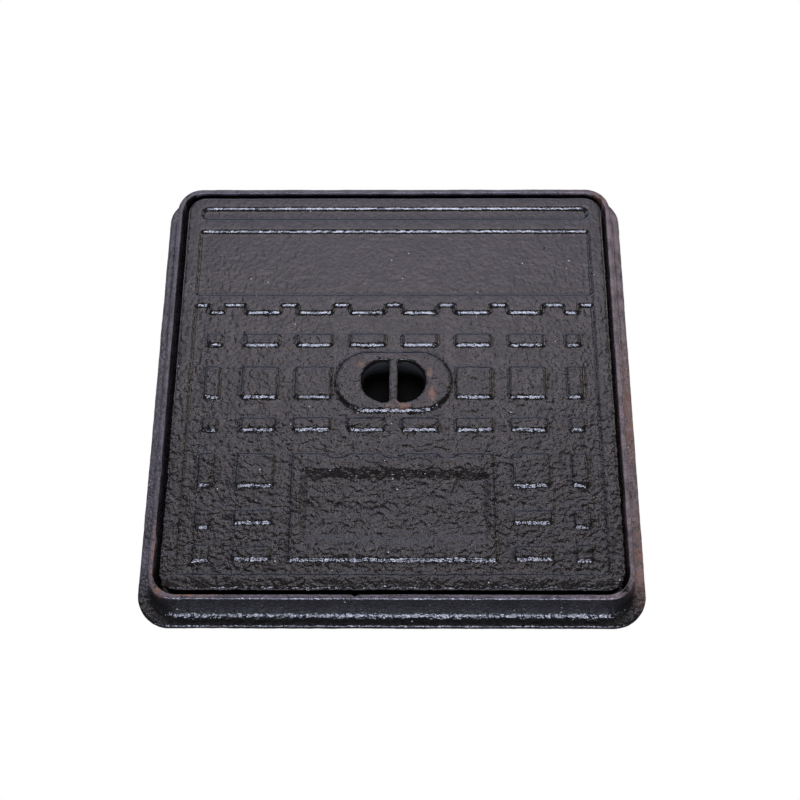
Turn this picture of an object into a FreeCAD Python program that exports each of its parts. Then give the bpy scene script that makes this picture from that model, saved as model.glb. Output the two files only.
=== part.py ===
"""Square cast-iron manhole cover, loose in its flanged frame, as two castings in millimetres.

The base of the frame lies on Z = 0 and its middle is the origin. +Y points to the side
that carries the long panel, +Z up. The cover drops into the frame from above, its skirt
stands on the seat inside the frame, and its face is flush with the frame's rim.
"""
import FreeCAD, Part
import math
import os

os.makedirs("parts", exist_ok=True)

# Frame casting
frame_height = 31.0          # base to rim
cover_gap = 2.8              # round the cover, at the rim
rim_width = 3.8              # top of the wall
rim_corner = 17.5
wall_lean = 1.5              # how far the outer wall leans out, rim to base
bore_lean = 1.0              # how far the inner wall leans in, rim to seat
flange_width = 10.0          # beyond the rim, on each side
flange_thickness = 5.0
flange_corner = 22.5
seat_thickness = 6.0
seat_width = 12.8            # from the wall to the opening down to the chamber
clear_corner = 9.0
rim_edge_round = 1.1
bore_edge_bevel = 0.7
flange_edge_round = 1.6
flange_root_round = 3.0

# Cover casting
cover_side = 300.0
cover_corner = 13.0
cover_shift_x = 0.7          # where the loose cover lies in its play
cover_shift_y = -0.3
skirt_lean = 1.0             # outside of the skirt, face to seat
cover_edge_round = 1.4
skirt_thickness = 6.0        # at its foot
field_thickness = 6.0        # plate under the sunken field
relief = 2.3                 # height of the raised pattern over the sunken field
relief_lean = 0.9            # how far the sides of the pattern lean over that height

# Sunken panels of the face, and the flat bars between them, from the far edge
border = 10.3                # flat border on the other three sides
groove_margin = 9.2
groove_width = 10.0
upper_bar = 9.5
panel_width = 54.0
lower_bar = 7.1
field_corner = 4.0

# Raised pads in the field. The wide ones take the width that is left across, and the
# long rows, 2 and 4, take the length that is left along.
pads_across = 6
pad_gap = 13.1
side_pad_width = 9.3
side_gap = 16.1              # between a side pad and the first wide one
side_margin = 11.05          # between a side pad and the border
pad_corner = 1.2
link_reach = 6.0             # of the pads that grow out of the bar above the field
row_gaps = (18.1, 18.2, 16.8, 18.8, 18.6, 17.6)   # in front of rows 1 to 6
short_pad_length = 7.6
side_pad_length_5 = 10.8
side_pad_length_6 = 9.4
near_margin = 11.4           # between row 6 and the border

# Bare plate in the near half
plate_set_back = 2.8         # behind the far edge of row 4
plate_near_margin = 11.0     # between the plate and the border
plate_dish_depth = 0.7
plate_dish_margin_x = 9.0
plate_dish_far_margin = 9.5
plate_dish_near_margin = 7.0
plate_dish_lean = 5.0

# Key pocket
boss_length = 78.5
boss_width = 43.5
pocket_length = 44.0
pocket_width = 32.0
pocket_depth = 21.0
pocket_lean = 1.0
pocket_wall = 4.5
pocket_floor = 4.0
bar_width = 6.3
bar_depth = 8.0

# Ribs under the cover
cells_across = 3
rib_thickness = 5.0          # at the tip
rib_set_back = 4.0           # tips of the ribs above the foot of the skirt
rib_lean = 0.9               # over the depth of a cell
cell_corner = 6.0
cell_root_flare = 2.0       # slope where the ribs meet the plate

# Worked out from the sizes above
cover_half = cover_side / 2
opening_half = cover_half + cover_gap
opening_corner = cover_corner + cover_gap
clear_half = opening_half - seat_width
rim_half = opening_half + rim_width
flange_half = rim_half + flange_width
face_z = frame_height
foot_z = seat_thickness
field_z = face_z - relief
plate_underside_z = field_z - field_thickness
pocket_floor_z = face_z - pocket_depth
rib_tip_z = foot_z + rib_set_back
groove_far_edge = cover_half - groove_margin
groove_near_edge = groove_far_edge - groove_width
panel_far_edge = groove_near_edge - upper_bar
panel_near_edge = panel_far_edge - panel_width
field_far_edge = panel_near_edge - lower_bar
field_half = cover_half - border
field_near_edge = -field_half
side_pad_x = field_half - side_margin - side_pad_width / 2
pads_reach = side_pad_x - side_pad_width / 2 - side_gap
pad_width = (2 * pads_reach - (pads_across - 1) * pad_gap) / pads_across
pad_pitch_x = pad_width + pad_gap
wide_columns = [pad_pitch_x * (n - (pads_across - 1) / 2) for n in range(pads_across)]
side_columns = [-side_pad_x, side_pad_x]
pads_length = field_far_edge - link_reach - sum(row_gaps) - near_margin - field_near_edge
long_pad_length = (pads_length - 4 * short_pad_length) / 2
row_lengths = (short_pad_length, long_pad_length, short_pad_length,
               long_pad_length, short_pad_length, short_pad_length)
row_far_edges = [field_far_edge - link_reach - sum(row_gaps[:n + 1]) - sum(row_lengths[:n])
                 for n in range(len(row_gaps))]
row_1, row_2, row_3, row_4, row_5, row_6 = [
    (far, far - length) for far, length in zip(row_far_edges, row_lengths)]
sink = 1.0                   # how far a raised form reaches into the plate under it
same_point = 1e-6
same_height = 1e-4


def outline(half_x, half_y, corner, z, middle_x=0.0, middle_y=0.0):
    """Closed wire of a rectangle with round corners, or of a slot when corner is half_y."""
    def at(x, y):
        return FreeCAD.Vector(middle_x + x, middle_y + y, z)

    inner_x = half_x - corner
    inner_y = half_y - corner
    tip = corner * math.sqrt(0.5)
    edges = []
    for turn in range(4):
        sign_x = (1, -1, -1, 1)[turn]
        sign_y = (1, 1, -1, -1)[turn]
        on_x = at(sign_x * half_x, sign_y * inner_y)
        on_y = at(sign_x * inner_x, sign_y * half_y)
        mid = at(sign_x * (inner_x + tip), sign_y * (inner_y + tip))
        start, end = (on_x, on_y) if turn % 2 == 0 else (on_y, on_x)
        if edges and edges[-1].lastVertex().Point.distanceToPoint(start) > same_point:
            edges.append(Part.makeLine(edges[-1].lastVertex().Point, start))
        edges.append(Part.Arc(start, mid, end).toShape())
    first = edges[0].firstVertex().Point
    last = edges[-1].lastVertex().Point
    if last.distanceToPoint(first) > same_point:
        edges.append(Part.makeLine(last, first))
    return Part.Wire(edges)


def block(half_x, half_y, corner, low_z, high_z, low_grow, middle_x=0.0, middle_y=0.0):
    """Leaning block: the sizes are those at high_z, and low_grow is added at low_z."""
    high = outline(half_x, half_y, corner, high_z, middle_x, middle_y)
    low = outline(half_x + low_grow, half_y + low_grow, corner + low_grow, low_z,
                  middle_x, middle_y)
    return Part.makeLoft([low, high], True, True)


def cut_outline(half_x, half_y, corner, z, middle_x, middle_y):
    """Closed wire of a rectangle whose corners are cut off straight."""
    inner_x = half_x - corner
    inner_y = half_y - corner
    points = []
    for sign_x, sign_y in ((1, 1), (-1, 1), (-1, -1), (1, -1)):
        on_side = FreeCAD.Vector(middle_x + sign_x * half_x, middle_y + sign_y * inner_y, z)
        on_end = FreeCAD.Vector(middle_x + sign_x * inner_x, middle_y + sign_y * half_y, z)
        points += [on_side, on_end] if sign_x == sign_y else [on_end, on_side]
    return Part.makePolygon(points + points[:1])


def round_loop(solid, z, radius):
    """Round every edge of the solid that lies wholly in the plane z."""
    edges = [edge for edge in solid.Edges
             if all(abs(vertex.Z - z) < same_height for vertex in edge.Vertexes)]
    return solid.makeFillet(radius, edges)


def loop_inside(body, z, half):
    """Edges of the body that lie in the plane z, inside a square of this half width."""
    return [edge for edge in body.Edges
            if all(abs(vertex.Z - z) < same_height
                   and max(abs(vertex.X), abs(vertex.Y)) < half + same_height
                   for vertex in edge.Vertexes)]


def make_frame():
    """Drafted wall on a flange, with the seat for the cover inside it."""
    flange = block(flange_half, flange_half, flange_corner, 0.0, flange_thickness, 0.0)
    flange = round_loop(flange, flange_thickness, flange_edge_round)
    flange = flange.removeSplitter()
    wall = block(rim_half, rim_half, rim_corner, 0.0, frame_height, wall_lean)
    wall = round_loop(wall, frame_height, rim_edge_round)
    body = flange.fuse(wall).removeSplitter()
    foot_half = rim_half + wall_lean * (1 - flange_thickness / frame_height)
    body = body.makeFillet(flange_root_round, loop_inside(body, flange_thickness, foot_half))
    bore = block(opening_half, opening_half, opening_corner, foot_z, frame_height, -bore_lean)
    shaft = block(clear_half, clear_half, clear_corner, -sink, foot_z + sink, 0.0)
    body = body.cut(bore).cut(shaft)
    return body.makeChamfer(bore_edge_bevel, loop_inside(body, frame_height, opening_half))


def sunken(half_x, far_edge, near_edge, corner):
    """Cutter for a panel sunk into the face by the relief, its sides leaning inwards."""
    half_y = (far_edge - near_edge) / 2
    middle_y = (far_edge + near_edge) / 2
    reach = relief_lean * (1 + sink / relief)
    return block(half_x + reach - relief_lean, half_y + reach - relief_lean,
                 corner + reach - relief_lean, field_z, face_z + sink, -reach,
                 0.0, middle_y)


def raised(half_x, half_y, middle_x, middle_y):
    """Pad that stands on the field, its top flush with the face and its corners cut."""
    grow = relief_lean * (1 + sink / relief)
    high = cut_outline(half_x, half_y, pad_corner, face_z, middle_x, middle_y)
    low = cut_outline(half_x + grow, half_y + grow, pad_corner + grow / 2, field_z - sink,
                      middle_x, middle_y)
    return Part.makeLoft([low, high], True, True)


def row_of_pads(far, near, columns, width):
    """One row of pads between two edges, in the given columns."""
    return [raised(width / 2, (far - near) / 2, x, (far + near) / 2) for x in columns]


def pads():
    """Rows of pads. The middle of row 2 is left out for the key boss, and the plate
    takes the columns between the outer ones in rows 4 to 6."""
    outer = [wide_columns[0], wide_columns[-1]]
    beside_boss = [x for x in wide_columns if abs(x) > boss_length / 2]
    made = []
    for (far, near), columns in ((row_1, wide_columns), (row_2, beside_boss),
                                 (row_3, wide_columns), (row_4, outer),
                                 (row_5, outer), (row_6, outer)):
        made += row_of_pads(far, near, columns, pad_width)
    for far, near in (row_1, row_2, row_3, row_4):
        made += row_of_pads(far, near, side_columns, side_pad_width)
    made += row_of_pads(row_5[0], row_5[0] - side_pad_length_5, side_columns, side_pad_width)
    middle_6 = (row_6[0] + row_6[1]) / 2
    return made + row_of_pads(middle_6 + side_pad_length_6 / 2, middle_6 - side_pad_length_6 / 2,
                              side_columns, side_pad_width)


def link_row():
    """Pads that hang from the bar between the panel and the field."""
    far = field_far_edge + pad_corner * 2
    near = field_far_edge - link_reach
    return (row_of_pads(far, near, wide_columns, pad_width)
            + row_of_pads(far, near, side_columns, side_pad_width))


def bare_plate():
    """Raised plate in the near half, with the row 4 pads of the middle columns on its
    far edge and a shallow dish with nothing in it."""
    columns = wide_columns[1:-1]
    half_x = columns[-1] + pad_width / 2
    plate_far, plate_near = row_4[0] - plate_set_back, field_near_edge + plate_near_margin
    made = raised(half_x, (plate_far - plate_near) / 2, 0.0, (plate_far + plate_near) / 2)
    made = made.fuse(row_of_pads(row_4[0], plate_far - long_pad_length / 2, columns, pad_width))
    dish_far = plate_far - plate_dish_far_margin
    dish_near = plate_near + plate_dish_near_margin
    dish = block(half_x - plate_dish_margin_x, (dish_far - dish_near) / 2, plate_dish_lean * 1.5,
                 face_z - plate_dish_depth, face_z, -plate_dish_lean, 0.0,
                 (dish_far + dish_near) / 2)
    return made.removeSplitter().cut(dish)


def cells():
    """Cutters for the cells between the ribs under the cover."""
    inner_half = cover_half - skirt_lean - skirt_thickness
    mouth = (2 * inner_half - (cells_across - 1) * rib_thickness) / cells_across
    depth = plate_underside_z - cell_root_flare - foot_z
    cutters = []
    for column in range(cells_across):
        for row in range(cells_across):
            x = (column - (cells_across - 1) / 2) * (mouth + rib_thickness)
            y = (row - (cells_across - 1) / 2) * (mouth + rib_thickness)
            rings = []
            for z, inset in ((foot_z, 0.0),
                             (plate_underside_z - cell_root_flare, rib_lean),
                             (plate_underside_z, rib_lean + cell_root_flare)):
                rings.append(outline(mouth / 2 - inset, mouth / 2 - inset, cell_corner - inset,
                                     z, x, y))
            cutters.append(Part.makeLoft(rings, True, True))
    tip_lean = rib_lean * rib_set_back / depth
    tips_half = inner_half - tip_lean
    cutters.append(block(tips_half, tips_half, cell_corner - tip_lean, foot_z, rib_tip_z,
                         tip_lean))
    return cutters


def pocket_cup():
    """Closed cup of the key pocket, tied to the ribs by four webs."""
    half_x = pocket_length / 2 + pocket_wall
    half_y = pocket_width / 2 + pocket_wall
    cup = block(half_x, half_y, half_y, pocket_floor_z - pocket_floor,
                plate_underside_z + sink, -pocket_lean)
    inner_half = cover_half - skirt_lean - skirt_thickness
    mouth = (2 * inner_half - (cells_across - 1) * rib_thickness) / cells_across
    reach = mouth / 2 + sink
    web = rib_thickness / 2 + rib_lean
    along_x = block(reach, web, rib_thickness / 4, rib_tip_z, plate_underside_z + sink, -rib_lean)
    along_y = block(web, reach, rib_thickness / 4, rib_tip_z, plate_underside_z + sink, -rib_lean)
    return cup.fuse([along_x, along_y])


def pocket_hollow():
    """Slot-shaped hollow for the lifting key, less the bar that crosses it."""
    lean = pocket_lean * (pocket_depth + sink) / pocket_depth
    hollow = block(pocket_length / 2, pocket_width / 2, pocket_width / 2, pocket_floor_z,
                   face_z + sink, -lean)
    bar_bottom_z = face_z - bar_depth
    half = bar_width / 2
    straight = Part.makeBox(bar_width, pocket_width + 2 * sink, bar_depth + sink - half,
                            FreeCAD.Vector(-half, -pocket_width / 2 - sink, bar_bottom_z + half))
    belly = Part.makeCylinder(half, pocket_width + 2 * sink,
                              FreeCAD.Vector(0, -pocket_width / 2 - sink, bar_bottom_z + half),
                              FreeCAD.Vector(0, 1, 0))
    bar = straight.fuse(belly).removeSplitter()
    return hollow.cut(bar)


def make_cover():
    """Ribbed plate with a skirt, a sunken face pattern and the key pocket."""
    body = block(cover_half, cover_half, cover_corner, foot_z, face_z, -skirt_lean)
    body = round_loop(body, face_z, cover_edge_round)
    body = body.cut(cells())
    body = body.fuse(pocket_cup()).removeSplitter()

    groove_half = (groove_far_edge - groove_near_edge) / 2
    face_cutters = [sunken(field_half, field_far_edge, -field_half, field_corner),
                    sunken(field_half, panel_far_edge, panel_near_edge, field_corner),
                    sunken(field_half, groove_far_edge, groove_near_edge, groove_half)]
    body = body.cut(face_cutters)

    boss_grow = relief_lean * (1 + sink / relief)
    boss = block(boss_length / 2, boss_width / 2, boss_width / 2, field_z - sink, face_z,
                 boss_grow)
    body = body.fuse(pads() + link_row() + [bare_plate(), boss]).removeSplitter()
    body = body.cut(pocket_hollow())
    body.translate(FreeCAD.Vector(cover_shift_x, cover_shift_y, 0))
    return body


def save(shape, node):
    """Write one node as a single closed solid."""
    solid = shape.Solids[0]
    if len(shape.Solids) != 1 or not solid.isValid():
        raise RuntimeError(f"{node}: {len(shape.Solids)} solids, valid {solid.isValid()}")
    solid.exportStep(f"parts/{node}.step")
    print(node, round(solid.Volume / 1000, 1), "cm3", len(solid.Faces), "faces")


save(make_frame(), "frame")
save(make_cover(), "cover")
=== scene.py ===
import bmesh
import bpy
import math
from mathutils import Matrix, Vector, noise


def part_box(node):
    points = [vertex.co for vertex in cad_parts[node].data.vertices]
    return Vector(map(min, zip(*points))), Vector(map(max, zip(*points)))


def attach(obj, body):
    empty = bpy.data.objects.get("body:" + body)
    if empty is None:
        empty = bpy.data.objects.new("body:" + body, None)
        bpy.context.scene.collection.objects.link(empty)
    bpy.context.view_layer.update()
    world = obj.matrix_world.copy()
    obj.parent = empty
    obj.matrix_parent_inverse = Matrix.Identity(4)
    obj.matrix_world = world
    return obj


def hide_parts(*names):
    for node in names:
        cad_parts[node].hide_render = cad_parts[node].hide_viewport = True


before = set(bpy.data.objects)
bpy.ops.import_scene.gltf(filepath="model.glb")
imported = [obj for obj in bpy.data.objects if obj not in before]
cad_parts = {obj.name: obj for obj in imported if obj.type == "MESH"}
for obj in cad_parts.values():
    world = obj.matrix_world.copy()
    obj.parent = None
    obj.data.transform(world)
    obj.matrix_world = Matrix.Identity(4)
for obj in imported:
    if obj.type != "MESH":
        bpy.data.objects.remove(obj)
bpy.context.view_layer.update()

# The view: a camera high over the near side, a white table under the casting, and the
# light of a white studio, brightest low in front and high behind.
rim_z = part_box("frame")[1][2]
look_at = Vector((0.00524, -0.0154, rim_z))
elevation = math.radians(63.73)
heading = math.radians(-1.26)
roll = math.radians(-1.12)
distance = 0.9831
forward = Vector((math.sin(heading) * math.cos(elevation),
                  math.cos(heading) * math.cos(elevation),
                  -math.sin(elevation)))
level = Vector((math.cos(heading), -math.sin(heading), 0.0))
upward = level.cross(forward)
across = level * math.cos(roll) + upward * math.sin(roll)
top = upward * math.cos(roll) - level * math.sin(roll)
camera_data = bpy.data.cameras.new("camera")
camera_data.sensor_width = 36.0
camera_data.lens = 65.29
camera = bpy.data.objects.new("camera", camera_data)
bpy.context.scene.collection.objects.link(camera)
camera.matrix_world = Matrix.Translation(look_at - forward * distance) @ Matrix(
    (across, top, -forward)).transposed().to_4x4()
bpy.context.scene.camera = camera
bpy.context.scene.view_settings.view_transform = "Standard"


def area_lamp(name, place, size, power, tint):
    """Add one rectangular lamp that shines from place towards the middle of the base."""
    lamp = bpy.data.lights.new(name, "AREA")
    lamp.shape = "RECTANGLE"
    lamp.size, lamp.size_y = size
    lamp.energy = power
    lamp.color = tint
    holder = bpy.data.objects.new(name, lamp)
    bpy.context.scene.collection.objects.link(holder)
    holder.location = place
    holder.rotation_euler = (Vector() - Vector(place)).to_track_quat("-Z", "Y").to_euler()


area_lamp("front_lamp", (0.0, -1.9, 0.75), (1.05, 0.85), 76.0, (0.74, 0.79, 1.0))
area_lamp("top_lamp", (0.0, 0.33, 2.28), (1.5, 0.5), 2.0, (1.0, 0.9, 0.92))
area_lamp("back_lamp", (0.0, 0.82, 2.15), (1.5, 0.66), 11.6, (1.0, 0.92, 1.0))
area_lamp("back_low", (0.0, 1.42, 1.81), (1.5, 0.72), 7.8, (0.88, 0.81, 1.0))
area_lamp("back_wall", (0.0, 2.4, 1.05), (2.6, 1.2), 28.0, (0.74, 0.78, 1.0))
area_lamp("left_lamp", (-1.76, 0.97, 0.88), (1.1, 1.0), 11.0, (0.80, 0.82, 1.0))
area_lamp("right_lamp", (1.76, 0.97, 0.88), (1.1, 1.0), 11.0, (1.0, 0.93, 0.92))

sky_fill = 0.06
world = bpy.data.worlds.new("studio")
bpy.context.scene.world = world
world.use_nodes = True
sky = world.node_tree.nodes["Background"]
sky.inputs["Color"].default_value = (1.0, 1.0, 1.0, 1.0)
seen = world.node_tree.nodes.new("ShaderNodeLightPath")
level_of_sky = world.node_tree.nodes.new("ShaderNodeMath")
level_of_sky.operation = "MAXIMUM"
level_of_sky.inputs[1].default_value = sky_fill
world.node_tree.links.new(seen.outputs["Is Camera Ray"], level_of_sky.inputs[0])
world.node_tree.links.new(level_of_sky.outputs[0], sky.inputs["Strength"])

# The table seems white, but casts only a dim reflection of itself on the glossy paint, and
# is seen through from below.
table_side = 60.0
table_tone = 0.9
reflected_tone = 0.08
reflected_glow = 0.02
bpy.ops.object.select_all(action="DESELECT")
bpy.ops.mesh.primitive_plane_add(size=table_side, location=(0, 0, 0))
table = bpy.context.object
table.name = "table"
white = bpy.data.materials.new("white_table")
white.use_nodes = True
tree = white.node_tree
tree.nodes.clear()
chalk = tree.nodes.new("ShaderNodeBsdfDiffuse")
glow = tree.nodes.new("ShaderNodeEmission")
glow.inputs["Strength"].default_value = 1.0
rays = tree.nodes.new("ShaderNodeLightPath")
share = tree.nodes.new("ShaderNodeMath")
share.operation = "MULTIPLY_ADD"
share.inputs[1].default_value = reflected_glow
tree.links.new(rays.outputs["Is Glossy Ray"], share.inputs[0])
tree.links.new(rays.outputs["Is Camera Ray"], share.inputs[2])
shade = tree.nodes.new("ShaderNodeMath")
shade.operation = "MULTIPLY_ADD"
shade.inputs[1].default_value = reflected_tone - table_tone
shade.inputs[2].default_value = table_tone
tree.links.new(rays.outputs["Is Glossy Ray"], shade.inputs[0])
tree.links.new(shade.outputs[0], chalk.inputs["Color"])
blend = tree.nodes.new("ShaderNodeMixShader")
tree.links.new(share.outputs[0], blend.inputs["Fac"])
tree.links.new(chalk.outputs[0], blend.inputs[1])
tree.links.new(glow.outputs[0], blend.inputs[2])
side = tree.nodes.new("ShaderNodeNewGeometry")
one_sided = tree.nodes.new("ShaderNodeMixShader")
tree.links.new(side.outputs["Backfacing"], one_sided.inputs["Fac"])
tree.links.new(blend.outputs[0], one_sided.inputs[1])
tree.links.new(tree.nodes.new("ShaderNodeBsdfTransparent").outputs[0], one_sided.inputs[2])
surface = tree.nodes.new("ShaderNodeOutputMaterial")
tree.links.new(one_sided.outputs[0], surface.inputs["Surface"])
table.data.materials.append(white)

mm = 0.001

# The frame: one iron casting, a leaning wall on a flange with a seat inside for the cover.
# It is lofted round its section from rings, each a square with its corners rounded, and
# its skin is then made as uneven as the sand that it was cast in.
frame_high = Vector(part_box("frame")[1])
flange_half = frame_high.x
flange_width = 10.0 * mm
rim_width = 3.8 * mm
rim_half = flange_half - flange_width
opening_half = rim_half - rim_width
clear_half = 140.0 * mm
wall_lean = 1.5 * mm
bore_lean = 1.0 * mm
flange_top_z = 5.0 * mm
seat_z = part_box("cover")[0][2]
flange_corner = 22.5 * mm
rim_corner = 17.5 * mm
opening_corner = 15.8 * mm
clear_corner = 9.0 * mm
foot_round = 0.8 * mm
flange_round = 1.6 * mm
root_round = 4.5 * mm
rim_round = 1.5 * mm
bore_round = 0.9 * mm
corner_steps = 20
side_cuts = 90
hair = 0.0002 * mm


def open_mesh(name):
    """Start an empty mesh object and leave it in edit mode, where edges are selected."""
    bpy.ops.object.select_all(action="DESELECT")
    piece = bpy.data.objects.new(name, bpy.data.meshes.new(name))
    bpy.context.scene.collection.objects.link(piece)
    bpy.context.view_layer.objects.active = piece
    piece.select_set(True)
    bpy.ops.object.mode_set(mode="EDIT")
    bpy.ops.mesh.select_mode(type="EDGE")
    return piece


def ring(half, corner, z):
    """Add one loop of edges: a square with round corners, lying at height z."""
    bpy.ops.mesh.primitive_plane_add(size=2 * half, location=(0, 0, z))
    bpy.ops.mesh.bevel(offset=corner, segments=corner_steps, affect="VERTICES")
    bpy.ops.mesh.delete(type="ONLY_FACE")


def open_edges():
    """Select the loops that still have a side without a face."""
    bpy.ops.mesh.select_all(action="DESELECT")
    bpy.ops.mesh.select_non_manifold(extend=False, use_wire=True, use_boundary=True,
                                     use_multi_face=False, use_non_contiguous=False,
                                     use_verts=False)


def loft(add_loop, loops, tube=True):
    """Add each loop and bridge it to the one before, and close the result.

    A tube's last loop is bridged back to its first, and otherwise both are capped. Loops
    that lie in one plane bridge askew, so each is a hair higher than the one before.
    """
    bpy.ops.mesh.select_mode(type="EDGE")
    for number, (*sizes, z) in enumerate(loops):
        add_loop(*sizes, z + number * hair)
        if number == 0:
            bpy.ops.mesh.select_all(action="SELECT")
            bpy.ops.object.vertex_group_assign_new()
            continue
        open_edges()
        if number > 1:
            bpy.ops.object.vertex_group_deselect()
        bpy.ops.mesh.bridge_edge_loops()
    bpy.ops.object.vertex_group_remove(all=True)
    open_edges()
    if tube:
        bpy.ops.mesh.bridge_edge_loops()
    else:
        bpy.ops.mesh.fill_holes(sides=0)


def run(rings, end, steps):
    """Carry the section on from its last ring, in even steps, to end = (half, corner, z)."""
    start = rings[-1]
    for n in range(1, steps + 1):
        rings.append(tuple(a + (b - a) * n / steps for a, b in zip(start, end)))


def turn(rings, middle, radius, first, last, steps):
    """Carry the section round an edge: middle is a (half, corner, z), angles in degrees."""
    for n in range(1, steps + 1):
        angle = math.radians(first + (last - first) * n / steps)
        out = radius * math.cos(angle)
        rings.append((middle[0] + out, middle[1] + out, middle[2] + radius * math.sin(angle)))


def wall_at(z):
    """Half width and corner of the leaning wall at height z."""
    lean = wall_lean * (1 - z / rim_z)
    return rim_half + lean, rim_corner + lean


section = [(clear_half, clear_corner, 0.0)]
run(section, (flange_half - foot_round, flange_corner - foot_round, 0.0), 12)
turn(section, (flange_half - foot_round, flange_corner - foot_round, foot_round),
     foot_round, -90, 0, 3)
run(section, (flange_half, flange_corner, flange_top_z - flange_round), 3)
turn(section, (flange_half - flange_round, flange_corner - flange_round,
               flange_top_z - flange_round), flange_round, 0, 90, 6)
foot, foot_corner = wall_at(flange_top_z)
run(section, (foot + root_round, foot_corner + root_round, flange_top_z), 4)
turn(section, (foot + root_round, foot_corner + root_round, flange_top_z + root_round),
     root_round, -90, -180, 8)
run(section, (*wall_at(rim_z - rim_round), rim_z - rim_round), 18)
turn(section, (rim_half - rim_round, rim_corner - rim_round, rim_z - rim_round),
     rim_round, 0, 90, 6)
run(section, (opening_half + bore_round, opening_corner + bore_round, rim_z), 3)
turn(section, (opening_half + bore_round, opening_corner + bore_round, rim_z - bore_round),
     bore_round, 90, 180, 5)
run(section, (opening_half - bore_lean, opening_corner - bore_lean, seat_z), 15)
run(section, (clear_half + foot_round, clear_corner + foot_round, seat_z), 8)
turn(section, (clear_half + foot_round, clear_corner + foot_round, seat_z - foot_round),
     foot_round, 90, 180, 3)
run(section, (clear_half, clear_corner, 0.0), 3)
section.pop()

frame_casting = open_mesh("frame_casting")
loft(ring, section)
shape = bmesh.from_edit_mesh(frame_casting.data)
# Each straight side is cut in two, and then each half into short pieces.
straight = 2 * (clear_half - clear_corner) * 0.98
for longest, cuts in ((straight, 1), (straight / 2, side_cuts)):
    bpy.ops.mesh.select_all(action="DESELECT")
    for edge in shape.edges:
        edge.select_set(edge.calc_length() > longest)
    bmesh.update_edit_mesh(frame_casting.data)
    bpy.ops.mesh.subdivide(number_cuts=cuts)
bpy.ops.mesh.select_all(action="SELECT")
bpy.ops.mesh.normals_make_consistent(inside=False)
bpy.ops.object.mode_set(mode="OBJECT")


def swell(place, size, stretch=(1, 1, 1), octaves=3):
    """Smooth noise between about -1 and 1 whose lumps are the given size across."""
    return noise.fractal(Vector(place[axis] / (size * stretch[axis]) for axis in range(3)),
                         0.8, 2.1, octaves)


def rises(value, start, end):
    """0 before start, 1 after end, and smooth between."""
    share = min(1.0, max(0.0, (value - start) / (end - start)))
    return share * share * (3 - 2 * share)


def near_share(place):
    """0 at the far side of the casting and 1 at the near side, where the iron ran coldest."""
    return min(1.0, max(0.0, 0.5 - place.y / (2 * opening_half)))


def spot(place, middle, size):
    """1 at the middle of a mark and 0 beyond its size, in X and Y."""
    away = math.hypot(place.x - middle[0], place.y - middle[1])
    return 1 - rises(away, 0, size)


def move_skin(piece, depth):
    """Push every point along its normal by depth(place, normal), in metres."""
    moves = [point.normal * depth(point.co, point.normal) for point in piece.data.vertices]
    for point, move in zip(piece.data.vertices, moves):
        point.co += move
    piece.data.update()


marks_from_z = 24 * mm
rim_chip = (-22.7 * mm, -153.4 * mm)
bore_lump_near = (-152.6 * mm, -116 * mm)
bore_lump_far = (-152.6 * mm, -66 * mm)


def frame_skin(place, normal):
    """Casting waves and sand grain, which only sink, and a few marks of the mould."""
    wave = 0.20 * mm * swell(place, 34 * mm)
    grain = 0.07 * mm * swell(place, 2.6 * mm, octaves=2)
    lumps = 0.14 * mm * swell(place, 6.5 * mm) * (1 if place.z < 9 * mm else 0.45)
    skin = min(0.0, wave + grain + lumps - 0.22 * mm)
    if place.z > marks_from_z:
        skin -= 1.3 * mm * spot(place, rim_chip, 2.6 * mm)
        skin += 1.1 * mm * spot(place, bore_lump_near, 4 * mm) * max(0, normal.x)
        skin += 0.7 * mm * spot(place, bore_lump_far, 7 * mm) * max(0, normal.x)
    return skin


def keep_level(piece):
    """Bring down every point that stands over the rim."""
    for point in piece.data.vertices:
        point.co.z = min(point.co.z, rim_z)
    piece.data.update()


move_skin(frame_casting, frame_skin)
keep_level(frame_casting)
bpy.ops.object.shade_smooth()

# The cover: one iron casting that lies loose on the seat. This is its upper side: a field
# sunk between border and bars, with pads standing in it, and the ring round the key slot.
cover_low, cover_high = (Vector(corner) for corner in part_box("cover"))
middle = (cover_low + cover_high) / 2
cover_half = 150.0 * mm
cover_corner = 13.0 * mm
skirt_lean = 1.0 * mm
edge_roll = 2.2 * mm
relief = 2.3 * mm
relief_lean = 1.2 * mm
field_z = rim_z - relief
split_z = rim_z - 3.6 * mm
border = 10.3 * mm
side_pad_x = 124.0 * mm
side_pad_width = 9.3 * mm
pad_pitch = 36.6 * mm
pad_width = 23.5 * mm
pad_corner = 1.4 * mm
pads_across = 6
column_middles = [pad_pitch * (n - (pads_across - 1) / 2) for n in range(pads_across)]
columns = [(x - pad_width / 2, x + pad_width / 2) for x in column_middles]
side_columns = [(x - side_pad_width / 2, x + side_pad_width / 2)
                for x in (-side_pad_x, side_pad_x)]
field_far = 60.2 * mm
field_near = border - cover_half
link_near = 54.2 * mm
row_1 = (28.5 * mm, 36.1 * mm)
row_2 = (-11.7 * mm, 10.3 * mm)
row_3 = (-36.1 * mm, -28.5 * mm)
row_4 = (-76.9 * mm, -54.9 * mm)
row_5 = (-103.1 * mm, -95.5 * mm)
row_6 = (-128.3 * mm, -120.7 * mm)
side_row_5 = (-106.3 * mm, -95.5 * mm)
side_row_6 = (-129.2 * mm, -119.8 * mm)
panel = (67.3 * mm, 121.3 * mm)
groove = (130.8 * mm, 140.8 * mm)
plate_far = -57.7 * mm
plate_near = -128.7 * mm
plate_half = columns[4][1]


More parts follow.
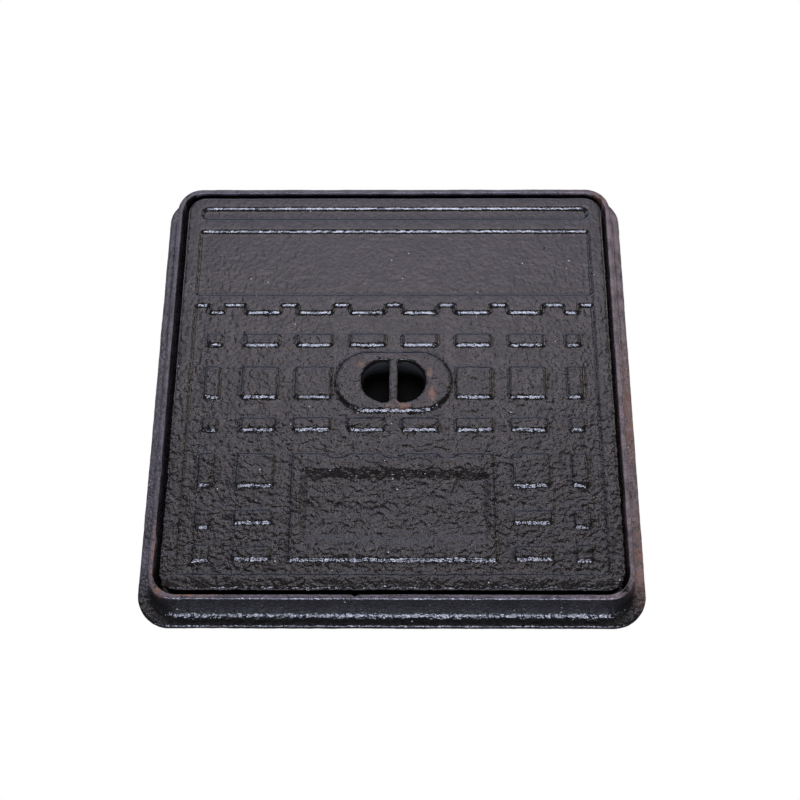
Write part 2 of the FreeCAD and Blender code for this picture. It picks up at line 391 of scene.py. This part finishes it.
def boxes():
    """Everything raised over the field, as (low x, high x, low y, high y) at its foot."""
    inner = cover_half - border
    made = [(-cover_half, cover_half, groove[1], cover_half),
            (-cover_half, cover_half, panel[1], groove[0]),
            (-cover_half, cover_half, field_far, panel[0]),
            (-cover_half, cover_half, -cover_half, field_near),
            (-cover_half, -inner, -cover_half, cover_half),
            (inner, cover_half, -cover_half, cover_half),
            (-plate_half, plate_half, plate_near, plate_far)]
    outer = [columns[0], columns[5]]
    beside_boss = [columns[0], columns[1], columns[4], columns[5]]
    rows = [((link_near, field_far), columns + side_columns), (row_1, columns + side_columns),
            (row_2, beside_boss + side_columns), (row_3, columns + side_columns),
            (row_4, columns + side_columns), (row_5, outer), (row_6, outer),
            (side_row_5, side_columns), (side_row_6, side_columns)]
    for (low_y, high_y), places in rows:
        made += [(low_x, high_x, low_y, high_y) for low_x, high_x in places]
    return [(low_x - relief_lean, high_x + relief_lean, low_y - relief_lean,
             high_y + relief_lean) for low_x, high_x, low_y, high_y in made]


raised = boxes()
key_length = 44.0 * mm
key_width = 32.0 * mm
key_depth = 21.0 * mm
key_lean = 1.0 * mm
boss_length = 78.5 * mm
boss_width = 43.5 * mm
bar_width = 6.3 * mm
bar_bite = 3 * mm
gap_x = 26.0 * mm
gap_y = 18.5 * mm


def select_faces(piece, wanted):
    """Select the faces whose middle, taken from the cover's own, and normal pass the test."""
    bpy.ops.mesh.select_all(action="DESELECT")
    bpy.ops.mesh.select_mode(type="FACE")
    shape = bmesh.from_edit_mesh(piece.data)
    for face in shape.faces:
        face.select_set(bool(wanted(face.calc_center_median() - Vector((middle.x, middle.y, 0)),
                                    face.normal)))
    bmesh.update_edit_mesh(piece.data)


def select_edges(piece, wanted):
    """Select the edges that pass the test."""
    bpy.ops.mesh.select_all(action="DESELECT")
    bpy.ops.mesh.select_mode(type="EDGE")
    shape = bmesh.from_edit_mesh(piece.data)
    for edge in shape.edges:
        edge.select_set(bool(wanted(edge)))
    bmesh.update_edit_mesh(piece.data)


def cut_lines(axis, places):
    """Score the whole mesh across at each place, which is taken from the cover's middle."""
    for place in sorted(set(round(value, 6) for value in places)):
        point = [0, 0, 0]
        point[axis] = place + middle[axis]
        normal = [0, 0, 0]
        normal[axis] = 1
        bpy.ops.mesh.select_all(action="SELECT")
        bpy.ops.mesh.bisect(plane_co=point, plane_no=normal)


def slot_loop(length, width, z):
    """Add one loop of edges: a slot with round ends, lying at height z over the middle."""
    bpy.ops.mesh.primitive_plane_add(size=width, location=(middle.x, middle.y, z))
    bpy.ops.transform.resize(value=(length / width, 1, 1), center_override=(middle.x, middle.y, z))
    bpy.ops.mesh.bevel(offset=width / 2 * 0.999, segments=10, affect="VERTICES")
    bpy.ops.mesh.delete(type="ONLY_FACE")


def is_raised(x, y):
    """Whether the face stands at its full height over this place."""
    return any(low_x < x < high_x and low_y < y < high_y for low_x, high_x, low_y, high_y in raised)


border_edge = cover_half - 5 * mm
sharp_turn = 0.5
facet_angle = math.radians(70)
cover_face = open_mesh("cover_face")
bpy.ops.mesh.primitive_plane_add(size=2 * cover_half, location=(middle.x, middle.y, field_z))
bpy.ops.mesh.bevel(offset=cover_corner, segments=10, affect="VERTICES")
cut_lines(0, [x for box in raised for x in box[:2] if abs(x) < border_edge] + [-gap_x, gap_x])
cut_lines(1, [y for box in raised for y in box[2:] if abs(y) < border_edge] + [-gap_y, gap_y])
select_faces(cover_face, lambda place, normal: abs(place.x) < gap_x and abs(place.y) < gap_y)
bpy.ops.mesh.delete(type="FACE")
select_faces(cover_face, lambda place, normal: is_raised(place.x, place.y))
bpy.ops.mesh.inset(thickness=relief_lean, depth=relief, use_boundary=False,
                   use_even_offset=True)


def is_corner(edge, low_y, high_y):
    """Whether a sloping edge is a corner of the relief and lies in this stretch of Y."""
    ends = [point.co for point in edge.verts]
    return (abs(ends[0].z - ends[1].z) > relief / 2 and len(edge.link_faces) == 2
            and edge.calc_face_angle() > sharp_turn and low_y < ends[0].y - middle.y < high_y)


groove_round = (groove[1] - groove[0]) / 2 - relief_lean
select_edges(cover_face, lambda edge: is_corner(edge, groove[0] - mm, groove[1] + mm))
bpy.ops.mesh.bevel(offset=groove_round, segments=6, affect="EDGES")
select_edges(cover_face, lambda edge: is_corner(edge, -cover_half, groove[0] - 2 * mm))
bpy.ops.mesh.bevel(offset=pad_corner, segments=3, affect="EDGES")

face_lap = 2.5 * mm
back_z = split_z - face_lap
back_scale = 1 - skirt_lean * (rim_z - back_z) / (rim_z - seat_z) / cover_half
bpy.ops.mesh.select_all(action="SELECT")
bpy.ops.mesh.extrude_region_move(TRANSFORM_OT_translate={"value": (0, 0, back_z - rim_z)})
bpy.ops.transform.resize(value=(back_scale, back_scale, 0),
                         center_override=(middle.x, middle.y, back_z))
bpy.ops.mesh.select_all(action="SELECT")
bpy.ops.mesh.normals_make_consistent(inside=False)


def on_top_outline(edge):
    """Whether the edge runs round the outside of the cover's face."""
    ends = [point.co for point in edge.verts]
    return (min(end.z for end in ends) > rim_z - 0.1 * mm and len(edge.link_faces) == 2
            and min(face.normal.z for face in edge.link_faces) < 0.5
            and all(max(abs(end.x - middle.x), abs(end.y - middle.y)) > border_edge
                    for end in ends))


select_edges(cover_face, on_top_outline)
bpy.ops.mesh.bevel(offset=edge_roll, segments=4, affect="EDGES", clamp_overlap=True)


def key_slot(z):
    """Length, width and height of the leaning inside of the key pocket at height z."""
    lean = 2 * key_lean * (rim_z - z) / key_depth
    return key_length - lean, key_width - lean, z


boss_foot = 2 * relief_lean * (rim_z - back_z) / relief
loft(slot_loop, [(boss_length + boss_foot, boss_width + boss_foot, back_z),
                 (boss_length, boss_width, rim_z), key_slot(rim_z), key_slot(back_z)])
bpy.ops.mesh.primitive_cube_add(size=1, location=(middle.x, middle.y, (rim_z + back_z) / 2))
bpy.ops.transform.resize(value=(bar_width, key_width + 2 * bar_bite, rim_z - back_z),
                         center_override=(middle.x, middle.y, (rim_z + back_z) / 2))
bpy.ops.mesh.select_all(action="SELECT")
bpy.ops.mesh.normals_make_consistent(inside=False)
bpy.ops.object.mode_set(mode="OBJECT")


def apply_modifier(piece, kind, **settings):
    """Add one modifier to the piece and apply it."""
    bpy.context.view_layer.objects.active = piece
    modifier = piece.modifiers.new(kind.lower(), kind)
    for name, value in settings.items():
        setattr(modifier, name, value)
    bpy.ops.object.modifier_apply(modifier=modifier.name)


def cast(piece, grain_size, rounding):
    """Melt the modelled parts into one skin of even grain, and soften its edges."""
    apply_modifier(piece, "REMESH", mode="VOXEL", voxel_size=grain_size)
    apply_modifier(piece, "SMOOTH", factor=0.5, iterations=rounding)


def trim(piece, z, keep_above):
    """Cut the piece flat at height z, keep one side and close the cut."""
    bpy.ops.object.select_all(action="DESELECT")
    piece.select_set(True)
    bpy.context.view_layer.objects.active = piece
    bpy.ops.object.mode_set(mode="EDIT")
    bpy.ops.mesh.select_all(action="SELECT")
    bpy.ops.mesh.bisect(plane_co=(0, 0, z), plane_no=(0, 0, 1), use_fill=True,
                        clear_inner=keep_above, clear_outer=not keep_above)
    bpy.ops.object.mode_set(mode="OBJECT")


def thin_out(piece):
    """Drop the faces that flat places can spare."""
    bpy.context.view_layer.objects.active = piece
    piece.data.calc_loop_triangles()
    spare = most_triangles / len(piece.data.loop_triangles)
    if spare < 1:
        apply_modifier(piece, "DECIMATE", ratio=spare)


def plate_dish(x, y):
    """Depth of the shallow dish in the bare plate, with the two waves that it holds."""
    inside = rises(x, -62 * mm, -55 * mm) * rises(-x, -66 * mm, -59 * mm)
    dish = 2.2 * (rises(-y, 64 * mm, 73.5 * mm) - rises(-y, 104 * mm, 125 * mm))
    wave = rises(-y, 87 * mm, 92 * mm) - rises(-y, 93 * mm, 104 * mm)
    step = rises(-y, 109.5 * mm, 111.5 * mm) - rises(-y, 112 * mm, 116 * mm)
    return inside * (0.95 * mm * dish + 0.28 * mm * wave * rises(-x, -30 * mm, 0)
                     + 0.2 * mm * step)


near_dip = (142 * mm, 151 * mm)
plate_dent = (-54 * mm, -92 * mm)
right_lump = (92.4 * mm, -1 * mm)
left_dent = (-92 * mm, 3.5 * mm)


def cover_skin(place, normal):
    """Sand grain all over, and cold wrinkles that grow towards the near side."""
    near = near_share(place)
    wave = 0.18 * mm * swell(place, 40 * mm)
    peel = (0.10 + 0.34 * near) * mm * swell(place, 3.2 * mm, octaves=3)
    fold = 1 - abs(swell(place, 5.5 * mm, stretch=(1.8, 0.8, 1.5), octaves=4)) * 2
    wrinkle = 0.32 * mm * rises(near, 0.25, 0.85) * fold
    roll = 0.30 * near * mm * swell(place, 12 * mm, octaves=2)
    skin = min(0.0, wave + peel + wrinkle + roll - 0.38 * mm)
    if normal.z > 0.5:
        x, y = place.x - middle.x, place.y - middle.y
        skin -= plate_dish(x, y)
        skin -= 1.0 * mm * rises(-y, *near_dip)
        skin -= 0.5 * mm * spot(place, plate_dent, 8 * mm)
        skin += 0.3 * mm * spot(place, right_lump, 4.5 * mm)
        skin -= 0.2 * mm * spot(place, left_dent, 3 * mm)
    return skin


face_grain = 0.8 * mm
most_triangles = 190000
cast(cover_face, face_grain, 5)
move_skin(cover_face, cover_skin)
trim(cover_face, split_z, keep_above=True)
thin_out(cover_face)
keep_level(cover_face)
bpy.ops.object.shade_smooth_by_angle(angle=facet_angle)

# The cover's underside: a skirt all round, ribs that cross, and the cup under the key slot
# that takes the tip of the lifting key behind the bar. It meets the face at split_z.
under_grain = 1.6 * mm
plate_thickness = 6 * mm
plate_z = rim_z - plate_thickness - relief
rib_set_back = 4 * mm
rib_tip_z = seat_z + rib_set_back
rib_width = 5 * mm
rib_lean = 0.9 * mm
skirt_width = 6 * mm
skirt_inside = cover_half - skirt_lean - skirt_width
rib_middle = skirt_inside / 3 + rib_width / 3
cup_wall = 4.5 * mm
cup_floor_z = rim_z - key_depth
cup_gap_x = 24 * mm
cup_gap_y = 18 * mm
cup_collar = 6 * mm
bar_depth = 8 * mm
cell_round = 5 * mm
under_lap = 2 * mm
lap_z = split_z + under_lap
ribs = [side * rib_middle + part * rib_width / 2 for side in (-1, 1) for part in (-1, 1)]
ribs += [-rib_width / 2, rib_width / 2, -skirt_inside, skirt_inside]


def is_skirt(x, y):
    """Whether the underside reaches down to the seat here."""
    return max(abs(x), abs(y)) > skirt_inside


def is_rib(x, y):
    """Whether a rib runs here, or one of the four webs that hold the cup."""
    across_x, across_y = abs(x), abs(y)
    rib = min(abs(across_x - rib_middle), abs(across_y - rib_middle)) < rib_width / 2
    web = min(across_x, across_y) < rib_width / 2 and max(across_x, across_y) < rib_middle
    return rib or web


cover_underside = open_mesh("cover_underside")
bpy.ops.mesh.primitive_plane_add(size=2 * (cover_half - skirt_lean),
                                 location=(middle.x, middle.y, plate_z))
bpy.ops.mesh.flip_normals()
bpy.ops.mesh.bevel(offset=cover_corner, segments=10, affect="VERTICES")
cut_lines(0, ribs + [-cup_gap_x, cup_gap_x])
cut_lines(1, ribs + [-cup_gap_y, cup_gap_y])
select_faces(cover_underside,
             lambda place, normal: abs(place.x) < cup_gap_x and abs(place.y) < cup_gap_y)
bpy.ops.mesh.delete(type="FACE")
select_faces(cover_underside,
             lambda place, normal: is_rib(place.x, place.y) or is_skirt(place.x, place.y))
bpy.ops.mesh.inset(thickness=-rib_lean / 2, depth=plate_z - rib_tip_z, use_boundary=False)
select_faces(cover_underside, lambda place, normal: is_skirt(place.x, place.y)
             and place.z < rib_tip_z + hair and normal.z < -0.9)
bpy.ops.mesh.inset(thickness=rib_lean / 2, depth=rib_tip_z - seat_z, use_boundary=False)


def is_cell_corner(edge):
    """Whether the edge is an upright inner corner of a cell."""
    ends = [point.co for point in edge.verts]
    return (abs(ends[0].z - ends[1].z) > (plate_z - rib_tip_z) / 2
            and len(edge.link_faces) == 2 and edge.calc_face_angle_signed() < -sharp_turn)


select_edges(cover_underside, is_cell_corner)
bpy.ops.mesh.bevel(offset=cell_round, segments=4, affect="EDGES")
lap_scale = 1 + skirt_lean * (lap_z - seat_z) / (rim_z - seat_z) / (cover_half - skirt_lean)
bpy.ops.mesh.select_all(action="SELECT")
bpy.ops.mesh.extrude_region_move(TRANSFORM_OT_translate={"value": (0, 0, lap_z - seat_z)})
bpy.ops.transform.resize(value=(lap_scale, lap_scale, 0),
                         center_override=(middle.x, middle.y, lap_z))
cup_length, cup_width = key_slot(cup_floor_z)[:2]
cup_length += 2 * cup_wall
cup_width += 2 * cup_wall
loft(slot_loop, [(cup_length - mm, cup_width - mm, seat_z),
                 (cup_length, cup_width, seat_z + mm),
                 (cup_length + mm, cup_width + mm, plate_z),
                 (cup_length + 2 * cup_collar, cup_width + 2 * cup_collar, plate_z),
                 (cup_length + 2 * cup_collar, cup_width + 2 * cup_collar, lap_z),
                 key_slot(lap_z), key_slot(cup_floor_z)], tube=False)
bar_end_y = key_width / 2 + cup_wall / 2
belly_z = rim_z - bar_depth + bar_width / 2
bpy.ops.mesh.primitive_cylinder_add(radius=bar_width / 2, depth=2 * bar_end_y, vertices=24,
                                    location=(middle.x, middle.y, belly_z),
                                    rotation=(math.pi / 2, 0, 0))
bpy.ops.mesh.primitive_cube_add(size=1, location=(middle.x, middle.y, (lap_z + belly_z) / 2))
bpy.ops.transform.resize(value=(bar_width, 2 * bar_end_y, lap_z - belly_z),
                         center_override=(middle.x, middle.y, (lap_z + belly_z) / 2))
bpy.ops.mesh.select_all(action="SELECT")
bpy.ops.mesh.normals_make_consistent(inside=False)
bpy.ops.object.mode_set(mode="OBJECT")


def under_skin(place, normal):
    """The rougher sand face of the underside."""
    return (0.25 * mm * swell(place, 38 * mm) + 0.18 * mm * swell(place, 6 * mm, octaves=2)
            - 0.3 * mm)


cast(cover_underside, under_grain, 3)
move_skin(cover_underside, under_skin)
trim(cover_underside, split_z, keep_above=False)
thin_out(cover_underside)
bpy.ops.object.shade_smooth_by_angle(angle=facet_angle)

# The looks: black bitumen paint, thin and uneven over the sand skin of the iron, with
# rust along a few edges, specks of grit, dust with a painted highlight along the rim, and painted
# shade in the key pocket.


def group_tree(name, sockets):
    """Start a node group that puts out the given sockets and reads the object's own place."""
    tree = bpy.data.node_groups.new(name, "ShaderNodeTree")
    for socket, kind in sockets:
        tree.interface.new_socket(name=socket, in_out="OUTPUT", socket_type=kind)
    out = tree.nodes.new("NodeGroupOutput")
    place = tree.nodes.new("ShaderNodeTexCoord").outputs["Object"]
    return tree, place, out


def math_node(tree, operation, *values):
    """Add one sum; each value is a number or an output to link."""
    node = tree.nodes.new("ShaderNodeMath")
    node.operation = operation
    for socket, value in zip(node.inputs, values):
        if isinstance(value, (int, float)):
            socket.default_value = value
        else:
            tree.links.new(value, socket)
    return node.outputs[0]


def spread(tree, value, low, high, first=0.0, last=1.0):
    """Map the stretch low to high of a value smoothly to first to last."""
    node = tree.nodes.new("ShaderNodeMapRange")
    node.interpolation_type = "SMOOTHSTEP"
    tree.links.new(value, node.inputs["Value"])
    for socket, number in zip(("From Min", "From Max", "To Min", "To Max"),
                              (low, high, first, last)):
        node.inputs[socket].default_value = number
    return node.outputs["Result"]


def cloud(tree, place, size, detail=3.0, roughness=0.55, stretch=(1, 1, 1)):
    """Noise from 0 to 1 whose lumps are the given size across, in metres."""
    scaled = tree.nodes.new("ShaderNodeMapping")
    scaled.inputs["Scale"].default_value = [1 / (size * part) for part in stretch]
    tree.links.new(place, scaled.inputs["Vector"])
    node = tree.nodes.new("ShaderNodeTexNoise")
    node.inputs["Scale"].default_value = 1.0
    node.inputs["Detail"].default_value = detail
    node.inputs["Roughness"].default_value = roughness
    tree.links.new(scaled.outputs[0], node.inputs["Vector"])
    return node.outputs["Fac"]


def near_by(tree, place, centre, size, flat=(1, 1, 1)):
    """1 at the middle of a patch, falling to 0 at its size."""
    away = tree.nodes.new("ShaderNodeVectorMath")
    away.operation = "SUBTRACT"
    away.inputs[1].default_value = centre
    tree.links.new(place, away.inputs[0])
    squeeze = tree.nodes.new("ShaderNodeVectorMath")
    squeeze.operation = "MULTIPLY"
    squeeze.inputs[1].default_value = flat
    tree.links.new(away.outputs[0], squeeze.inputs[0])
    far = tree.nodes.new("ShaderNodeVectorMath")
    far.operation = "LENGTH"
    tree.links.new(squeeze.outputs[0], far.inputs[0])
    return spread(tree, far.outputs["Value"], 0.0, size, 1.0, 0.0)


def blend_colour(tree, mask, first, second):
    """Mix two colours by a mask; each colour is a tuple or an output."""
    node = tree.nodes.new("ShaderNodeMix")
    node.data_type = "RGBA"
    tree.links.new(mask, node.inputs["Factor"])
    for socket, value in zip((node.inputs[6], node.inputs[7]), (first, second)):
        if isinstance(value, tuple):
            socket.default_value = (*value, 1.0)
        else:
            tree.links.new(value, socket)
    return node.outputs[2]


grain_group, place, out = group_tree("sand_grain", [("Height", "NodeSocketFloat"),
                                                    ("Gloss", "NodeSocketFloat")])
split = grain_group.nodes.new("ShaderNodeSeparateXYZ")
grain_group.links.new(place, split.inputs[0])
near_value = spread(grain_group, split.outputs["Y"], opening_half, -opening_half, 0.3, 1.0)
grit = cloud(grain_group, place, 2.6 * mm, 2.5, 0.5)
grain_group.links.new(math_node(grain_group, "MULTIPLY", grit, near_value),
                      out.inputs["Height"])
grain_group.links.new(cloud(grain_group, place, 9 * mm, 4.0), out.inputs["Gloss"])

# This group gives rust and grit, dust along the rim that is also a painted highlight on its top
# edge, and the painted shade inside the key pocket.
wear_and_painted_light_group, place, out = group_tree("wear_and_painted_light", [("Rust", "NodeSocketFloat"),
                                             ("Grit", "NodeSocketFloat"),
                                             ("Pocket_painted_shade", "NodeSocketFloat"),
                                             ("Rim_dust_and_highlight", "NodeSocketColor")])
height = wear_and_painted_light_group.nodes.new("ShaderNodeSeparateXYZ")
wear_and_painted_light_group.links.new(place, height.inputs[0])
# Painted shade: the inside of the key pocket is darkened from 1.5 mm below the rim down to 7 mm, in
# place of the shadow in its depth.
pocket_shade_depth = spread(wear_and_painted_light_group, height.outputs["Z"], rim_z - 1.5 * mm, rim_z - 7 * mm)
# What a patch that fades out at 1 m still holds 29 mm from its middle, past the slot's ends.
share_at_slot_end = 0.9975
key_area = near_by(wear_and_painted_light_group, place, (middle.x, middle.y, 0), 1.0, (1, 1, 0))
key_area = math_node(wear_and_painted_light_group, "GREATER_THAN", key_area, share_at_slot_end)
wear_and_painted_light_group.links.new(math_node(wear_and_painted_light_group, "MULTIPLY", pocket_shade_depth, key_area), out.inputs["Pocket_painted_shade"])
# The rim colour: the rim's top edge is lightened as a painted highlight, and the frame away from
# its near side takes a lighter dust, brown on the right.
off_middle = wear_and_painted_light_group.nodes.new("ShaderNodeVectorMath")
off_middle.operation = "ABSOLUTE"
wear_and_painted_light_group.links.new(place, off_middle.inputs[0])
sides = wear_and_painted_light_group.nodes.new("ShaderNodeSeparateXYZ")
wear_and_painted_light_group.links.new(off_middle.outputs[0], sides.inputs[0])
outermost = math_node(wear_and_painted_light_group, "MAXIMUM", sides.outputs["X"], sides.outputs["Y"])
on_wall = math_node(wear_and_painted_light_group, "GREATER_THAN", outermost, opening_half - 1.5 * mm)
on_top = spread(wear_and_painted_light_group, height.outputs["Z"], rim_z - 1.6 * mm, rim_z - 0.6 * mm)
off_near = spread(wear_and_painted_light_group, height.outputs["Y"], -150 * mm, -120 * mm)
rim_top_dust_and_highlight = math_node(wear_and_painted_light_group, "MULTIPLY", on_top, on_wall)
side_dust_and_highlight_mask = math_node(wear_and_painted_light_group, "MULTIPLY", off_near, on_wall)
rim_dust_and_highlight_mask = math_node(wear_and_painted_light_group, "MAXIMUM", rim_top_dust_and_highlight, side_dust_and_highlight_mask)
dust_patchiness = spread(wear_and_painted_light_group, cloud(wear_and_painted_light_group, place, 12 * mm, 4.0), 0.35, 0.65, 0.4, 1.0)
# Dust colours, which on the rim's top edge also serve as a painted highlight.
left_dust_and_highlight = (0.055, 0.048, 0.058)
right_dust_and_highlight = (0.13, 0.096, 0.098)
rim_dust_and_highlight_colour = blend_colour(wear_and_painted_light_group,
                          spread(wear_and_painted_light_group, height.outputs["X"], 100 * mm, 150 * mm),
                          left_dust_and_highlight, right_dust_and_highlight)
wear_and_painted_light_group.links.new(blend_colour(wear_and_painted_light_group, math_node(wear_and_painted_light_group, "MULTIPLY", rim_dust_and_highlight_mask, dust_patchiness),
                                  (0.0, 0.0, 0.0), rim_dust_and_highlight_colour), out.inputs["Rim_dust_and_highlight"])
# Each patch of rust: its middle, its size and how much it is flattened along X, Y and Z.
rust_patches = [((-0.1490, -0.1490, rim_z), 0.007, (1, 1, 1)),
                ((-0.1280, -0.1535, rim_z), 0.034, (1, 14, 3)),
                ((-0.1535, -0.1280, rim_z), 0.034, (14, 1, 3)),
                ((0.1530, 0.1520, rim_z), 0.012, (1, 1, 1)),
                ((0.1640, -0.1200, 0.004), 0.050, (5, 1, 4)),
                ((0.1640, -0.0100, 0.004), 0.070, (6, 1, 4)),
                ((-0.0230, 0.0125, rim_z), 0.0060, (1, 2, 1)),
                ((0.0255, 0.0060, rim_z), 0.0060, (2, 1, 1)),
                ((0.0270, -0.0100, rim_z), 0.0090, (2, 1, 1)),
                ((0.0040, -0.0190, rim_z), 0.0140, (1, 3, 1)),
                ((0.1453, -0.0503, rim_z), 0.0030, (1, 2, 1))]
rust = None
for centre, size, flat in rust_patches:
    patch = near_by(wear_and_painted_light_group, place, centre, size, flat)
    rust = patch if rust is None else math_node(wear_and_painted_light_group, "MAXIMUM", rust, patch)
ragged = cloud(wear_and_painted_light_group, place, 4 * mm, 5.0, 0.65)
rust = math_node(wear_and_painted_light_group, "MULTIPLY", rust, spread(wear_and_painted_light_group, ragged, 0.35, 0.62))
wear_and_painted_light_group.links.new(rust, out.inputs["Rust"])
cells = wear_and_painted_light_group.nodes.new("ShaderNodeTexVoronoi")
cells.inputs["Scale"].default_value = 80.0
wear_and_painted_light_group.links.new(place, cells.inputs["Vector"])
wear_and_painted_light_group.links.new(spread(wear_and_painted_light_group, cells.outputs["Distance"], 0.045, 0.03),
                     out.inputs["Grit"])


def casting_paint(name, black):
    """Black paint on cast iron, with rust, grit, rim dust with a painted highlight, and painted
    shade in the key pocket.
    """
    rust_brown = (0.19, 0.10, 0.066)
    grit_grey = (0.40, 0.39, 0.37)
    # Painted shade: near black for the inside of the key pocket.
    painted_pocket_shade = (0.002, 0.002, 0.002)
    paint = bpy.data.materials.new(name)
    paint.use_nodes = True
    tree = paint.node_tree
    bsdf = tree.nodes["Principled BSDF"]
    grain = tree.nodes.new("ShaderNodeGroup")
    grain.node_tree = grain_group
    wear_and_painted_light = tree.nodes.new("ShaderNodeGroup")
    wear_and_painted_light.node_tree = wear_and_painted_light_group
    # The rim's dust and painted highlight are added onto the black.
    paint_with_rim_dust_and_highlight = tree.nodes.new("ShaderNodeVectorMath")
    paint_with_rim_dust_and_highlight.operation = "ADD"
    paint_with_rim_dust_and_highlight.inputs[1].default_value = black
    tree.links.new(wear_and_painted_light.outputs["Rim_dust_and_highlight"], paint_with_rim_dust_and_highlight.inputs[0])
    rusty = blend_colour(tree, wear_and_painted_light.outputs["Rust"], paint_with_rim_dust_and_highlight.outputs[0], rust_brown)
    colour = blend_colour(tree, wear_and_painted_light.outputs["Grit"], rusty, grit_grey)
    # The painted pocket shade darkens the inside of the key pocket.
    dark = blend_colour(tree, wear_and_painted_light.outputs["Pocket_painted_shade"], colour, painted_pocket_shade)
    tree.links.new(dark, bsdf.inputs["Base Color"])
    gloss = spread(tree, grain.outputs["Gloss"], 0.3, 0.7, 0.21, 0.32)
    dull = math_node(tree, "MAXIMUM", gloss,
                     math_node(tree, "MULTIPLY", wear_and_painted_light.outputs["Rust"], 0.75))
    # The pocket's painted shade is also made fully rough, so it catches no sheen.
    dull = math_node(tree, "MAXIMUM", dull, wear_and_painted_light.outputs["Pocket_painted_shade"])
    tree.links.new(dull, bsdf.inputs["Roughness"])
    bump = tree.nodes.new("ShaderNodeBump")
    bump.inputs["Strength"].default_value = 1.0
    bump.inputs["Distance"].default_value = 1.1 * mm
    tree.links.new(grain.outputs["Height"], bump.inputs["Height"])
    tree.links.new(bump.outputs[0], bsdf.inputs["Normal"])
    return paint


frame_paint = casting_paint("frame_paint", (0.0042, 0.0036, 0.0037))
cover_paint = casting_paint("cover_paint", (0.0052, 0.0041, 0.0035))
for piece, body, paint in ((frame_casting, "frame", frame_paint),
                           (cover_face, "cover", cover_paint),
                           (cover_underside, "cover", cover_paint)):
    piece.data.materials.append(paint)
    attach(piece, body)
    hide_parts(body)
